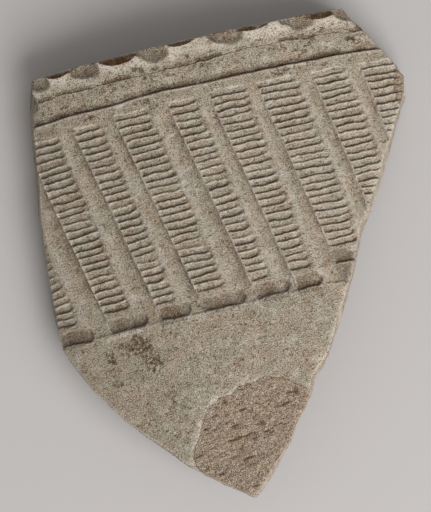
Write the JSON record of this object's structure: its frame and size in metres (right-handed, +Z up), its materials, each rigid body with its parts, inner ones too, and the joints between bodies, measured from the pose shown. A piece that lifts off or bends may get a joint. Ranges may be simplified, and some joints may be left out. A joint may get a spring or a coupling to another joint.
{
  "type": "pottery sherd",
  "caption": "Curved rim sherd of a thick-walled clay basin, with a frilled lip, a turned groove and leaning columns of short combed strokes, broken to a point.",
  "frame": {"origin": "middle of the sherd's box in plan, on the table that it lies on", "axes": "+X along the rim, +Y towards the lip, +Z up, out of the decorated outer face"},
  "size_m": [0.0896, 0.1028, 0.0189],
  "materials": {
    "clay_surface": "unglazed, gritty, pale grey-beige with brown stains",
    "clay_lip": "unglazed, gritty, slightly paler"
  },
  "bodies": {
    "root": {"wall": "clay_surface", "frilled_lip": "clay_lip"}
  },
  "joints": []
}
